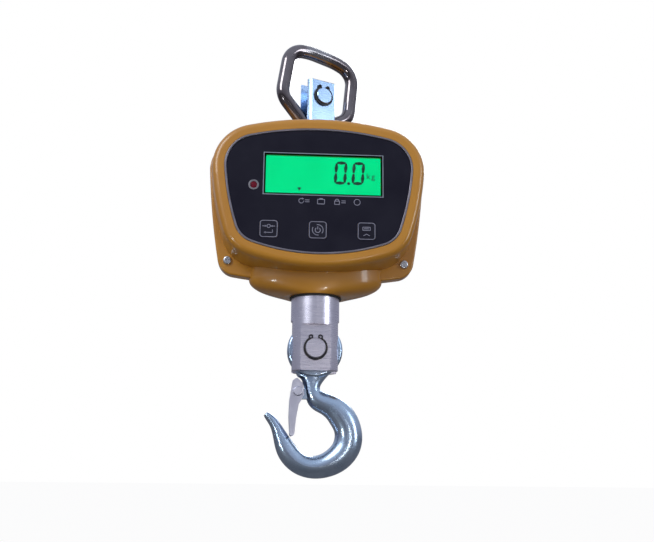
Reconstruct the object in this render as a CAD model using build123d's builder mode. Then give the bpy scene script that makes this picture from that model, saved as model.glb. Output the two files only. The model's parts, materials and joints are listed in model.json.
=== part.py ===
from build123d import *
from math import cos, hypot, radians, sin, sqrt
import os

# Hanging crane scale, millimetres, +Z up.
# Origin: the lowest point of the hook's bowl, where the load hangs, on the load axis.
# The display faces -Y. The hook opens towards -X.

# ---------------------------------------------------------------- driving sizes
HOOK_PIN_Z = 95.0
PIN_SPAN = 155.5 + HOOK_PIN_Z
RING_PIN_Z = HOOK_PIN_Z + PIN_SPAN
PANEL_Z = HOOK_PIN_Z + 141.0

PANEL_Y = -45.0
FLANGE_FACE_Y = -7.0
REAR_FLANGE_Y = 6.0
BACK_Y = 46.0
GASKET_HALF = 0.6

COLUMN_R = 22.5
FORK_SLOT = 16.0
FORK_FLAT = 18.0
EYE_R = 25.5
EYE_THICK = 15.0
HOOK_PIN_R = 9.0

SWIVEL_YAW = 25.0
BLOCK_R = 17.0
BLOCK_FLAT = 11.5
RING_SLOT = 14.4
RING_PIN_R = 8.0
SHANK_R = 10.0
ROD_R = 6.6
RING_DROP = 16.0
RING_ASIDE = 1.5
RING_TILT = 7.5

RUNNING = 0.06
CLEAR = 0.3

# heights along the load axis
FORK_BOTTOM_Z = HOOK_PIN_Z - 20.0
FLAT_TOP_Z = HOOK_PIN_Z + 22.0
CHIN_Z = HOOK_PIN_Z + 49.5
SHOULDER_Z = HOOK_PIN_Z + 84.0
GLAND_Z = SHOULDER_Z + 10.0
NECK_TOP_Z = HOOK_PIN_Z + 120.0
STUD_Z = HOOK_PIN_Z + 128.0
STUD_TOP_Z = HOOK_PIN_Z + 146.0
HOUSING_TOP_Z = HOOK_PIN_Z + 206.0
BLOCK_BASE_Z = HOOK_PIN_Z + 208.0
SLOT_FLOOR_Z = RING_PIN_Z - 38.9
BLOCK_TOP_Z = RING_PIN_Z + 17.0

# panel layout, from the panel's centre
KEY_SIZE = 16.4
KEY_X = -0.7
KEY_PITCH = 44.3
KEY_Z = PANEL_Z - 37.5
LCD_W = 109.0
LCD_H = 39.5
LCD_X = 4.0
LCD_Z = PANEL_Z + 15.5
LAMP_X = -59.7
LAMP_Z = PANEL_Z + 4.0
LAMP_R = 3.2
RECEIVER_X = 50.0
RECEIVER_Z = PANEL_Z + 44.5

# depths behind the panel face
POCKET_Y = -43.6
FRONT_WALL_Y = -40.0
BOARD_Y = -31.0
BOARD_T = 1.6

EAR_SCREW_X = 83.0
EAR_SCREW_Z = PANEL_Z - 58.5
REAR_SCREW_X = 86.0
REAR_SCREW_Z = PANEL_Z + 44.0
SCREW_R = 2.0
HEAD_R = 4.0

os.makedirs("parts", exist_ok=True)


# ---------------------------------------------------------------- planes and outlines
def facing(y, z=0.0, x=0.0):
    """Plane at depth y whose normal points to the front."""
    return Plane(origin=(x, y, z), x_dir=(1, 0, 0), z_dir=(0, -1, 0))


def level(z):
    """Horizontal plane at height z."""
    return Plane.XY.offset(z)


def turned(z):
    """Horizontal plane at height z, turned with the swivel."""
    return Plane(origin=(0, 0, z), x_dir=(cos(radians(SWIVEL_YAW)), sin(radians(SWIVEL_YAW)), 0), z_dir=(0, 0, 1))


def across_pin(distance, tilt=0.0):
    """Plane square to the ring pin, at a distance from the load axis towards the front, its right side dipped."""
    yaw = radians(SWIVEL_YAW)
    dip = radians(tilt)
    normal = (sin(yaw), -cos(yaw), 0)
    origin = (distance * normal[0], distance * normal[1], RING_PIN_Z)
    right = (cos(yaw) * cos(dip), sin(yaw) * cos(dip), -sin(dip))
    return Plane(origin=origin, x_dir=right, z_dir=normal)


def circle_through(first, second, third):
    """Centre x, centre y and radius of the circle through three points."""
    (ax, ay), (bx, by), (cx, cy) = first, second, third
    twice_area = 2 * (ax * (by - cy) + bx * (cy - ay) + cx * (ay - by))
    a, b, c = ax**2 + ay**2, bx**2 + by**2, cx**2 + cy**2
    x = (a * (by - cy) + b * (cy - ay) + c * (ay - by)) / twice_area
    y = (a * (cx - bx) + b * (ax - cx) + c * (bx - ax)) / twice_area
    return x, y, hypot(ax - x, ay - y)


def crossing(one, other, near):
    """Point where two circles cross, the one nearer to a given point."""
    gap_x = other[0] - one[0]
    gap_y = other[1] - one[1]
    gap = hypot(gap_x, gap_y)
    along = (gap**2 + one[2] ** 2 - other[2] ** 2) / (2 * gap)
    aside = sqrt(one[2] ** 2 - along**2)
    points = []
    for side in (-1, 1):
        x = one[0] + (along * gap_x - side * aside * gap_y) / gap
        y = one[1] + (along * gap_y + side * aside * gap_x) / gap
        points.append((x, y))
    return min(points, key=lambda point: hypot(point[0] - near[0], point[1] - near[1]))


def middle_of(circle, start, end):
    """Point of a circle halfway between two of its points."""
    x = (start[0] + end[0]) / 2 - circle[0]
    y = (start[1] + end[1]) / 2 - circle[1]
    reach = circle[2] / hypot(x, y)
    return circle[0] + x * reach, circle[1] + y * reach


def four_arcs(top, upper, side, lower, bottom, upper_r, lower_r, grow):
    """Closed outline of four arcs with rounded corners, symmetric about X = 0, grown on every side."""
    roof = circle_through((-upper[0], upper[1]), (0, top), upper)
    wall = circle_through(upper, side, lower)
    floor = circle_through(lower, (0, bottom), (-lower[0], lower[1]))
    roof, wall, floor = [(x, y, radius + grow) for x, y, radius in (roof, wall, floor)]
    high = crossing(roof, wall, upper)
    low = crossing(floor, wall, lower)
    middle = middle_of(wall, high, low)
    with BuildSketch(Plane.XY, mode=Mode.PRIVATE) as shape:
        with BuildLine():
            ThreePointArc((-high[0], high[1]), (0, top + grow), high)
            ThreePointArc(high, middle, low)
            ThreePointArc(low, (0, bottom - grow), (-low[0], low[1]))
            ThreePointArc((-low[0], low[1]), (-middle[0], middle[1]), (-high[0], high[1]))
        make_face()
        fillet(vertices().sort_by(Axis.Y)[-2:], upper_r + grow)
        fillet(vertices().sort_by(Axis.Y)[:2], lower_r + grow)
    return shape.sketch


def panel_outline(grow=0.0):
    """Outline of the dark panel with its trim."""
    return four_arcs(60.5, (87.5, 46.2), (84.1, -0.7), (71.5, -46.0), -60.2, 30.0, 24.0, grow)


def flange_outline(grow=0.0):
    """Outline of the flange where the two casings meet."""
    return four_arcs(76.5, (104.0, 56.0), (99.8, -7.3), (90.0, -70.0), -78.5, 34.0, 17.0, grow)


def tapered_shell(base_y, end_y):
    """Body of a casing, from its wide base to its narrower face."""
    sections = []
    for y, grow in ((base_y, 13.7), (end_y, 11.0)):
        with BuildSketch(facing(y, PANEL_Z)) as section:
            add(panel_outline(grow))
        sections.append(section.sketch.face())
    loft(sections)


def chin():
    """Rounded lobe under the casing, around the column."""
    sizes = ((0.0, 30.0, 25.8), (3.0, 44.0, 26.6), (7.5, 56.0, 27.2), (12.5, 61.5, 27.6), (18.0, 62.5, 27.8))
    sections = []
    for rise, half_x, half_y in sizes:
        with BuildSketch(level(CHIN_Z + rise)) as section:
            Ellipse(half_x, half_y)
        sections.append(section.sketch.face())
    loft(sections)
    with BuildSketch(level(CHIN_Z + 18)) as top:
        Ellipse(62.5, 27.8)
    extrude(top.sketch, amount=11)


def column_holes():
    """Openings for the load column below and the swivel block above."""
    with Locations((0, 0, HOOK_PIN_Z + 60)):
        Cylinder(COLUMN_R + 1.7, 40, mode=Mode.SUBTRACT)
    with Locations((0, 0, HOOK_PIN_Z + 213)):
        Cylinder(BLOCK_R + 2.6, 24, mode=Mode.SUBTRACT)


def finish_piece(piece, name):
    """Label a finished piece and write it."""
    piece.label = name
    export_step(piece, "parts/" + name + ".step")


# ---------------------------------------------------------------- casings
def front_casing():
    with BuildPart() as casing:
        with BuildSketch(facing(-GASKET_HALF, PANEL_Z)):
            add(flange_outline())
        extrude(amount=-FLANGE_FACE_Y - GASKET_HALF)
        fillet(casing.faces().sort_by(Axis.Y)[0].outer_wire().edges(), 1.8)
        tapered_shell(FLANGE_FACE_Y + 1, PANEL_Y)
        fillet(casing.faces().sort_by(Axis.Y)[0].outer_wire().edges(), 6)
        chin()
        split(bisect_by=Plane.XZ.offset(GASKET_HALF), keep=Keep.TOP)
        with BuildSketch(facing(0, PANEL_Z)):
            add(panel_outline(8.5))
        extrude(amount=-FRONT_WALL_Y, mode=Mode.SUBTRACT)
        column_holes()
        with BuildSketch(facing(POCKET_Y, PANEL_Z)):
            add(panel_outline(CLEAR))
        extrude(amount=5, mode=Mode.SUBTRACT)
        with BuildSketch(facing(FRONT_WALL_Y, 0)):
            with Locations((LCD_X, LCD_Z)):
                Rectangle(LCD_W - 3, LCD_H - 3)
            with Locations((LAMP_X, LAMP_Z)):
                Circle(LAMP_R + 2.0)
            with Locations((RECEIVER_X, RECEIVER_Z)):
                Circle(3)
            with Locations((KEY_X, KEY_Z)):
                with GridLocations(KEY_PITCH, 0, 3, 1):
                    RectangleRounded(9.2, 9.2, 1)
        extrude(amount=10, mode=Mode.SUBTRACT)
        with BuildSketch(facing(POCKET_Y + 0.9, KEY_Z)):
            with Locations((KEY_X, 0)):
                with GridLocations(KEY_PITCH, 0, 3, 1):
                    RectangleRounded(KEY_SIZE + 1.2, KEY_SIZE + 1.2, 3.4)
        extrude(amount=2, mode=Mode.SUBTRACT)
        with BuildSketch(facing(BOARD_Y, PANEL_Z)):
            with GridLocations(132, 84, 2, 2):
                Circle(4)
        extrude(amount=BOARD_Y - FRONT_WALL_Y + 1)
        with BuildSketch(facing(BOARD_Y, PANEL_Z)):
            with GridLocations(132, 84, 2, 2):
                Circle(1.5 + RUNNING)
        extrude(amount=7, mode=Mode.SUBTRACT)
        with BuildSketch(facing(0, EAR_SCREW_Z)):
            with GridLocations(2 * EAR_SCREW_X, 0, 2, 1):
                Circle(SCREW_R + RUNNING)
        extrude(amount=20, mode=Mode.SUBTRACT)
        with BuildSketch(facing(0, REAR_SCREW_Z)):
            with GridLocations(2 * REAR_SCREW_X, 0, 2, 1):
                Circle(7)
        extrude(amount=14)
        split(bisect_by=Plane.XZ.offset(GASKET_HALF), keep=Keep.TOP)
        with BuildSketch(facing(0, REAR_SCREW_Z)):
            with GridLocations(2 * REAR_SCREW_X, 0, 2, 1):
                Circle(SCREW_R + RUNNING)
        extrude(amount=12, mode=Mode.SUBTRACT)
    finish_piece(casing.part, "front_casing")


BATTERY_X = 53.0
BATTERY_Z = PANEL_Z + 1.0
COVER_W = 50.0
COVER_H = 84.0
SOCKET_X = -52.0
SOCKET_Z = PANEL_Z - 38.0
SOCKET_R = 5.5
SOCKET_Y = BACK_Y - 5.0


def rear_casing():
    with BuildPart() as casing:
        with BuildSketch(facing(REAR_FLANGE_Y, PANEL_Z)):
            add(flange_outline())
        extrude(amount=REAR_FLANGE_Y - GASKET_HALF)
        fillet(casing.faces().sort_by(Axis.Y)[-1].outer_wire().edges(), 1.8)
        tapered_shell(REAR_FLANGE_Y - 1, BACK_Y)
        fillet(casing.faces().sort_by(Axis.Y)[-1].outer_wire().edges(), 7)
        chin()
        split(bisect_by=Plane.XZ.offset(-GASKET_HALF), keep=Keep.BOTTOM)
        with BuildSketch(facing(0, PANEL_Z)):
            add(panel_outline(7))
        extrude(amount=-(BACK_Y - 4), mode=Mode.SUBTRACT)
        column_holes()
        with BuildSketch(facing(BACK_Y - 2.6, BATTERY_Z)):
            with Locations((BATTERY_X, 0)):
                RectangleRounded(COVER_W + 2 * CLEAR, COVER_H + 2 * CLEAR, 5)
        extrude(amount=-5, mode=Mode.SUBTRACT)
        with BuildSketch(facing(BACK_Y, BATTERY_Z)):
            with Locations((BATTERY_X, 0)):
                Rectangle(COVER_W - 6, COVER_H - 16)
        extrude(amount=6, mode=Mode.SUBTRACT)
        with BuildSketch(facing(BACK_Y, BATTERY_Z)):
            with Locations((BATTERY_X, 0)):
                with GridLocations(COVER_W - 10, COVER_H - 7, 2, 2):
                    Circle(1.25 + RUNNING)
        extrude(amount=6, mode=Mode.SUBTRACT)
        with BuildSketch(facing(BACK_Y - 3.9, SOCKET_Z, SOCKET_X)):
            Circle(SOCKET_R + 6)
        extrude(amount=5.1)
        with BuildSketch(facing(BACK_Y + 1, SOCKET_Z, SOCKET_X)):
            Circle(SOCKET_R + 3.6)
        extrude(amount=1 + BACK_Y - SOCKET_Y, mode=Mode.SUBTRACT)
        with BuildSketch(facing(BACK_Y + 1, SOCKET_Z, SOCKET_X)):
            Circle(SOCKET_R + CLEAR)
        extrude(amount=12, mode=Mode.SUBTRACT)
        with BuildSketch(facing(BACK_Y - 2, REAR_SCREW_Z)):
            with GridLocations(2 * REAR_SCREW_X, 0, 2, 1):
                Circle(7.5)
        extrude(amount=BACK_Y - 2 - GASKET_HALF)
        with BuildSketch(facing(BACK_Y - 3.5, SHOULDER_Z + 14)):
            with GridLocations(52, 0, 2, 1):
                Circle(4.5)
        extrude(amount=BACK_Y - 3.5 - 24)
        with BuildSketch(facing(BACK_Y - 5, SHOULDER_Z + 14)):
            with GridLocations(52, 0, 2, 1):
                Circle(1.5 + RUNNING)
        extrude(amount=30, mode=Mode.SUBTRACT)
        for x, z in ((EAR_SCREW_X, EAR_SCREW_Z), (REAR_SCREW_X, REAR_SCREW_Z)):
            with BuildSketch(facing(20, z)):
                with GridLocations(2 * x, 0, 2, 1):
                    Circle(SCREW_R + RUNNING)
            extrude(amount=30, mode=Mode.SUBTRACT)
        with BuildSketch(facing(50, REAR_SCREW_Z)):
            with GridLocations(2 * REAR_SCREW_X, 0, 2, 1):
                Circle(HEAD_R + 0.6)
        extrude(amount=50 - REAR_FLANGE_Y, mode=Mode.SUBTRACT)
    finish_piece(casing.part, "rear_casing")


def casing_gasket():
    with BuildPart() as gasket:
        with BuildSketch(facing(GASKET_HALF, PANEL_Z)):
            add(flange_outline(-2))
            add(panel_outline(8.5), mode=Mode.SUBTRACT)
        extrude(amount=2 * GASKET_HALF)
        column_holes()
        for x, z in ((EAR_SCREW_X, EAR_SCREW_Z), (REAR_SCREW_X, REAR_SCREW_Z)):
            with BuildSketch(facing(5, z)):
                with GridLocations(2 * x, 0, 2, 1):
                    Circle(SCREW_R + 0.4)
            extrude(amount=10, mode=Mode.SUBTRACT)
    finish_piece(gasket.part, "casing_gasket")


def pan_screw(name, places, seat_y, length, shank_r, head_r, head_t, towards_front):
    """Group of pan head screws along Y with a cross recess, all seated at one depth."""
    way = 1 if towards_front else -1
    with BuildPart() as screws:
        for x, z in places:
            with BuildSketch(facing(seat_y, z, x)):
                Circle(head_r)
            extrude(amount=way * head_t)
            with BuildSketch(facing(seat_y, z, x)):
                Circle(shank_r)
            extrude(amount=-way * length)
        rims = screws.edges().filter_by(GeomType.CIRCLE)
        outer = rims.filter_by(lambda e: e.radius > shank_r + 0.1 and abs(e.center().Y - seat_y) > head_t / 2)
        fillet(outer, head_t * 0.5)
        for x, z in places:
            with BuildSketch(facing(seat_y - way * head_t * 0.45, z, x)):
                Rectangle(head_r * 1.15, head_r * 0.26)
                Rectangle(head_r * 0.26, head_r * 1.15)
            extrude(amount=way * head_t, mode=Mode.SUBTRACT)
    finish_piece(screws.part, name)


def seals():
    with BuildPart() as lower:
        with BuildSketch(level(CHIN_Z - 1.5)):
            Circle(COLUMN_R + 1.6)
            Circle(COLUMN_R + RUNNING, mode=Mode.SUBTRACT)
        extrude(amount=16)
    finish_piece(lower.part, "lower_seal")
    with BuildPart() as upper:
        with BuildSketch(level(HOOK_PIN_Z + 209)):
            Circle(BLOCK_R + 2.5)
            Circle(BLOCK_R + CLEAR, mode=Mode.SUBTRACT)
        extrude(amount=6.5)
        fillet(upper.edges().sort_by(Axis.Z)[-2:], 0.8)
    finish_piece(upper.part, "upper_seal")


# ---------------------------------------------------------------- panel and electronics
def panel_trim():
    with BuildPart() as trim:
        with BuildSketch(facing(POCKET_Y, PANEL_Z)):
            add(panel_outline())
            add(panel_outline(-1.9), mode=Mode.SUBTRACT)
        extrude(amount=2.0)
        fillet(trim.faces().sort_by(Axis.Y)[0].edges(), 0.6)
    finish_piece(trim.part, "panel_trim")


def panel_overlay():
    with BuildPart() as overlay:
        with BuildSketch(facing(POCKET_Y, PANEL_Z)):
            add(panel_outline(-2.0))
        extrude(amount=1.0)
        with BuildSketch(facing(POCKET_Y + 1, 0)):
            with Locations((LCD_X, LCD_Z)):
                Rectangle(LCD_W + 0.2, LCD_H + 0.2)
            with Locations((LAMP_X, LAMP_Z)):
                Circle(LAMP_R + 1.75)
            with Locations((KEY_X, KEY_Z)):
                with GridLocations(KEY_PITCH, 0, 3, 1):
                    RectangleRounded(KEY_SIZE + 0.5, KEY_SIZE + 0.5, 3.1)
        extrude(amount=3, mode=Mode.SUBTRACT)
    finish_piece(overlay.part, "panel_overlay")


def display():
    with BuildPart() as window:
        with BuildSketch(facing(POCKET_Y, LCD_Z, LCD_X)):
            Rectangle(LCD_W, LCD_H)
        extrude(amount=0.9)
    finish_piece(window.part, "display_window")
    with BuildPart() as module:
        with BuildSketch(facing(-36.4, LCD_Z, LCD_X)):
            Rectangle(LCD_W + 6, LCD_H + 8)
        extrude(amount=3.4)
        with BuildSketch(facing(-39.8, LCD_Z, LCD_X)):
            Rectangle(LCD_W - 4, LCD_H - 4)
        extrude(amount=3.0)
    finish_piece(module.part, "display_module")
    with BuildPart() as light:
        with BuildSketch(facing(-33.2, LCD_Z, LCD_X)):
            Rectangle(LCD_W + 6, LCD_H + 8)
        extrude(amount=3.2)
        with BuildSketch(facing(BOARD_Y, LCD_Z, LCD_X)):
            with GridLocations(LCD_W - 4, LCD_H, 2, 2):
                Circle(1.2)
        extrude(amount=2.5)
    finish_piece(light.part, "backlight")


def main_board():
    with BuildPart() as board:
        with BuildSketch(facing(BOARD_Y + BOARD_T, PANEL_Z)):
            RectangleRounded(144, 96, 3)
            with GridLocations(132, 84, 2, 2):
                Circle(1.7, mode=Mode.SUBTRACT)
        extrude(amount=BOARD_T)
        with BuildSketch(facing(BOARD_Y + BOARD_T + 1.8, PANEL_Z)):
            with Locations((-42, 12)):
                Rectangle(14, 14)
            with Locations((38, -6)):
                Rectangle(9, 6)
            with Locations((44, 26)):
                Rectangle(12, 8)
        extrude(amount=1.9)
    finish_piece(board.part, "main_board")


def key_switches():
    with BuildPart() as switches:
        with BuildSketch(facing(BOARD_Y, KEY_Z)):
            with Locations((KEY_X, 0)):
                with GridLocations(KEY_PITCH, 0, 3, 1):
                    Rectangle(7, 7)
        extrude(amount=3.0)
        with BuildSketch(facing(BOARD_Y - 3.0, KEY_Z)):
            with Locations((KEY_X, 0)):
                with GridLocations(KEY_PITCH, 0, 3, 1):
                    Circle(1.7)
        extrude(amount=0.6)
    finish_piece(switches.part, "key_switches")


def panel_keys():
    for index, name in enumerate(("zero_key", "power_key", "hold_key")):
        x = KEY_X + (index - 1) * KEY_PITCH
        with BuildPart() as key:
            with BuildSketch(facing(POCKET_Y - 0.1, KEY_Z, x)):
                RectangleRounded(KEY_SIZE, KEY_SIZE, 3)
            extrude(amount=1.1)
            with BuildSketch(facing(BOARD_Y - 4.2, KEY_Z, x)):
                RectangleRounded(8, 8, 1)
            extrude(amount=BOARD_Y - 4.2 - POCKET_Y + 0.3)
        finish_piece(key.part, name)


def charge_lamp():
    with BuildPart() as lamp:
        with BuildSketch(facing(-36, LAMP_Z, LAMP_X)):
            Circle(LAMP_R)
        extrude(amount=-36 - POCKET_Y + 1.2)
        fillet(lamp.faces().sort_by(Axis.Y)[0].edges(), 1.0)
        with BuildSketch(facing(BOARD_Y, LAMP_Z, LAMP_X)):
            with GridLocations(2.5, 0, 2, 1):
                Circle(0.4)
        extrude(amount=5.2)
    finish_piece(lamp.part, "charge_lamp")
    with BuildPart() as collar:
        with BuildSketch(facing(POCKET_Y + 1.5, LAMP_Z, LAMP_X)):
            Circle(LAMP_R + 1.65)
            Circle(LAMP_R + RUNNING, mode=Mode.SUBTRACT)
        extrude(amount=2.8)
        fillet(collar.faces().sort_by(Axis.Y)[0].edges(), 0.4)
    finish_piece(collar.part, "lamp_collar")


def ir_receiver():
    with BuildPart() as receiver:
        with BuildSketch(facing(BOARD_Y, RECEIVER_Z, RECEIVER_X)):
            Rectangle(6, 7)
        extrude(amount=4)
        with BuildSketch(facing(BOARD_Y - 4, RECEIVER_Z, RECEIVER_X)):
            Circle(2.2)
        extrude(amount=3)
        fillet(receiver.faces().sort_by(Axis.Y)[0].edges(), 1.5)
    finish_piece(receiver.part, "ir_receiver")


def battery():
    with BuildPart() as cells:
        for dx in (-9.5, 9.5):
            for y in (13.0, 32.0):
                with BuildSketch(level(BATTERY_Z - 34)):
                    with Locations((BATTERY_X + dx, y)):
                        Circle(9.3)
                extrude(amount=68)
        with BuildSketch(level(BATTERY_Z - 32)):
            with Locations((BATTERY_X, 22.5)):
                RectangleRounded(34, 34, 3)
        extrude(amount=64)
    finish_piece(cells.part, "battery")
    with BuildPart() as cushion:
        with BuildSketch(level(BATTERY_Z - 30)):
            with Locations((BATTERY_X, 2.0)):
                Rectangle(30, 3)
        extrude(amount=60)
    finish_piece(cushion.part, "battery_cushion")


def battery_cover():
    with BuildPart() as cover:
        with BuildSketch(facing(BACK_Y, BATTERY_Z, BATTERY_X)):
            RectangleRounded(COVER_W, COVER_H, 4.7)
        extrude(amount=2.6)
        fillet(cover.faces().sort_by(Axis.Y)[-1].edges(), 0.8)
        with BuildSketch(facing(BACK_Y - 2.6, BATTERY_Z, BATTERY_X)):
            with GridLocations(COVER_W - 10, COVER_H - 7, 2, 2):
                Circle(1.6)
        extrude(amount=-4, mode=Mode.SUBTRACT)
        with BuildSketch(facing(BACK_Y - 0.7, BATTERY_Z - 26, BATTERY_X)):
            with GridLocations(0, 4, 1, 5):
                SlotOverall(26, 1.6)
        extrude(amount=-2, mode=Mode.SUBTRACT)
    finish_piece(cover.part, "battery_cover")


def charge_socket():
    with BuildPart() as socket:
        with BuildSketch(facing(SOCKET_Y, SOCKET_Z, SOCKET_X)):
            Circle(SOCKET_R)
            Circle(2.8, mode=Mode.SUBTRACT)
        extrude(amount=13)
        with BuildSketch(facing(SOCKET_Y + 1.4, SOCKET_Z, SOCKET_X)):
            Circle(SOCKET_R + 2)
            Circle(2.8, mode=Mode.SUBTRACT)
        extrude(amount=1.4)
        with BuildSketch(facing(SOCKET_Y - 13, SOCKET_Z, SOCKET_X)):
            Circle(SOCKET_R)
        extrude(amount=2)
        with BuildSketch(facing(SOCKET_Y - 13, SOCKET_Z, SOCKET_X)):
            Circle(0.9)
        extrude(amount=-5)
    finish_piece(socket.part, "charge_socket")
    with BuildPart() as cap:
        with BuildSketch(facing(SOCKET_Y + 1.5, SOCKET_Z, SOCKET_X)):
            Circle(SOCKET_R + 2.6)
        extrude(amount=-2.4)
        fillet(cap.faces().sort_by(Axis.Y)[-1].edges(), 1)
        with BuildSketch(facing(SOCKET_Y + 1.5, SOCKET_Z, SOCKET_X)):
            Circle(2.5)
            Circle(1.2, mode=Mode.SUBTRACT)
        extrude(amount=6.5)
    finish_piece(cap.part, "charge_cap")


# ---------------------------------------------------------------- load column
def load_cell():
    with BuildPart() as cell:
        with BuildSketch(level(FORK_BOTTOM_Z)):
            Circle(COLUMN_R)
        extrude(amount=SHOULDER_Z - FORK_BOTTOM_Z)
        chamfer(cell.edges().filter_by(GeomType.CIRCLE).sort_by(Axis.Z)[0], 0.6)
        with BuildSketch(level(SHOULDER_Z)):
            RectangleRounded(30, 24, 2)
        extrude(amount=NECK_TOP_Z - SHOULDER_Z)
        with BuildSketch(level(NECK_TOP_Z)):
            Circle(COLUMN_R + 0.5)
        extrude(amount=STUD_Z - NECK_TOP_Z)
        with BuildSketch(level(STUD_Z)):
            Circle(16)
        extrude(amount=STUD_TOP_Z - STUD_Z)
        for side in (-1, 1):
            with BuildSketch(level(FORK_BOTTOM_Z)):
                with Locations((0, side * (FORK_FLAT + 5))):
                    Rectangle(60, 10)
            extrude(amount=FLAT_TOP_Z - FORK_BOTTOM_Z, mode=Mode.SUBTRACT)
        with BuildSketch(level(FORK_BOTTOM_Z)):
            Rectangle(60, FORK_SLOT)
        extrude(amount=20 + EYE_R + 1.5, mode=Mode.SUBTRACT)
        with BuildSketch(facing(0, HOOK_PIN_Z)):
            Circle(HOOK_PIN_R + RUNNING)
        extrude(amount=40, both=True, mode=Mode.SUBTRACT)
        with BuildSketch(facing(-8, SHOULDER_Z + 24)):
            Circle(9)
        extrude(amount=10, mode=Mode.SUBTRACT)
        with BuildSketch(facing(18, SHOULDER_Z + 24)):
            Circle(9)
        extrude(amount=10, mode=Mode.SUBTRACT)
        with BuildSketch(level(SHOULDER_Z - 10)):
            with GridLocations(38, 0, 2, 1):
                Circle(1.5 + RUNNING)
        extrude(amount=11, mode=Mode.SUBTRACT)
    finish_piece(cell.part, "load_cell")


def strain_gauges():
    with BuildPart() as gauges:
        for y in (-8, 8.3):
            with BuildSketch(facing(y, SHOULDER_Z + 24)):
                Rectangle(9, 6)
            extrude(amount=0.3)
    finish_piece(gauges.part, "strain_gauges")
    with BuildPart() as covers:
        for y in (-10.6, 12):
            with BuildSketch(facing(y, SHOULDER_Z + 24)):
                Circle(9 - RUNNING)
            extrude(amount=1.4)
    finish_piece(covers.part, "gauge_covers")


def load_cell_cable():
    with BuildPart() as cable:
        with BuildLine() as route:
            FilletPolyline(
                (18, 0, GLAND_Z),
                (30, 0, GLAND_Z),
                (32, -16, GLAND_Z + 10),
                (32, BOARD_Y + BOARD_T, GLAND_Z + 10),
                radius=5,
            )
        with BuildSketch(Plane(origin=route.line @ 0, z_dir=route.line % 0)):
            Circle(1.8)
        sweep()
    finish_piece(cable.part, "load_cell_cable")
    with BuildPart() as gland:
        with BuildSketch(Plane(origin=(15, 0, GLAND_Z), z_dir=(1, 0, 0))):
            Circle(4)
        extrude(amount=3)
    finish_piece(gland.part, "cable_gland")


def mounting_plate():
    with BuildPart() as plate:
        with BuildSketch(level(SHOULDER_Z)):
            with Locations((0, 5)):
                Rectangle(84, 38)
            RectangleRounded(30.4, 24.4, 2, mode=Mode.SUBTRACT)
            with GridLocations(38, 0, 2, 1):
                Circle(1.7, mode=Mode.SUBTRACT)
        extrude(amount=3)
        with BuildSketch(facing(24, SHOULDER_Z)):
            with Locations((0, 11)):
                Rectangle(84, 22)
            with Locations((0, 14)):
                with GridLocations(52, 0, 2, 1):
                    Circle(1.7, mode=Mode.SUBTRACT)
        extrude(amount=3)
    finish_piece(plate.part, "mounting_plate")


def plate_screws():
    with BuildPart() as screws:
        with BuildSketch(level(SHOULDER_Z + 3)):
            with GridLocations(38, 0, 2, 1):
                Circle(3)
        extrude(amount=2.4)
        with BuildSketch(level(SHOULDER_Z - 8)):
            with GridLocations(38, 0, 2, 1):
                Circle(1.5)
        extrude(amount=11)
        with BuildSketch(facing(21, SHOULDER_Z + 14)):
            with GridLocations(52, 0, 2, 1):
                Circle(3)
        extrude(amount=2.4)
        with BuildSketch(facing(21, SHOULDER_Z + 14)):
            with GridLocations(52, 0, 2, 1):
                Circle(1.5)
        extrude(amount=-11)
    finish_piece(screws.part, "plate_screws")


def circlips(name, plane_at, shaft_r, distances):
    """Pair of external circlips with eared ends, upwards, on one pin."""
    with BuildPart() as rings:
        for distance in distances:
            with BuildSketch(plane_at(distance)):
                Circle(shaft_r + 2.0)
                with Locations((-4.2, shaft_r + 0.9), (4.2, shaft_r + 0.9)):
                    Circle(2.4)
                Circle(shaft_r - 0.55, mode=Mode.SUBTRACT)
                with Locations((0, shaft_r + 1)):
                    Rectangle(4.6, 8, mode=Mode.SUBTRACT)
                with Locations((-4.4, shaft_r + 1.2), (4.4, shaft_r + 1.2)):
                    Circle(0.9, mode=Mode.SUBTRACT)
            extrude(amount=1.2)
    finish_piece(rings.part, name)


def grooved_pin(name, plane_at, radius, flat, reach):
    """Round pin with a circlip groove outside each flat."""
    with BuildPart() as pin:
        with BuildSketch(plane_at(-flat - reach)):
            Circle(radius)
        extrude(amount=2 * (flat + reach))
        chamfer(pin.edges().filter_by(GeomType.CIRCLE), 0.5)
        for distance in (-flat - 1.5, flat + 0.2):
            with BuildSketch(plane_at(distance)):
                Circle(radius + 1)
                Circle(radius - 0.6, mode=Mode.SUBTRACT)
            extrude(amount=1.3, mode=Mode.SUBTRACT)
    finish_piece(pin.part, name)


def hook_pin_plane(distance):
    """Plane square to the hook pin, at a distance towards the front."""
    return facing(-distance, HOOK_PIN_Z)


# ---------------------------------------------------------------- swivel and ring
def swivel_housing():
    with BuildPart() as housing:
        with BuildSketch(level(STUD_Z)):
            Circle(COLUMN_R + 0.5)
            Circle(16 + RUNNING, mode=Mode.SUBTRACT)
        extrude(amount=HOUSING_TOP_Z - STUD_Z)
        with BuildSketch(level(HOUSING_TOP_Z - 12)):
            Circle(18)
            Circle(SHANK_R + 0.1, mode=Mode.SUBTRACT)
        extrude(amount=12)
        chamfer(housing.edges().filter_by(GeomType.CIRCLE).sort_by(SortBy.RADIUS)[-1], 1)
    finish_piece(housing.part, "swivel_housing")


def thrust_bearing():
    with BuildPart() as bearing:
        for rise in (-3.0, -8.0):
            with BuildSketch(level(HOUSING_TOP_Z - 12 + rise)):
                Circle(15.5)
                Circle(SHANK_R + 0.1, mode=Mode.SUBTRACT)
            extrude(amount=2.4)
        with BuildSketch(level(HOUSING_TOP_Z - 12 - 5.8)):
            Circle(14)
            Circle(SHANK_R + 1, mode=Mode.SUBTRACT)
        extrude(amount=3)
    finish_piece(bearing.part, "thrust_bearing")


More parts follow.
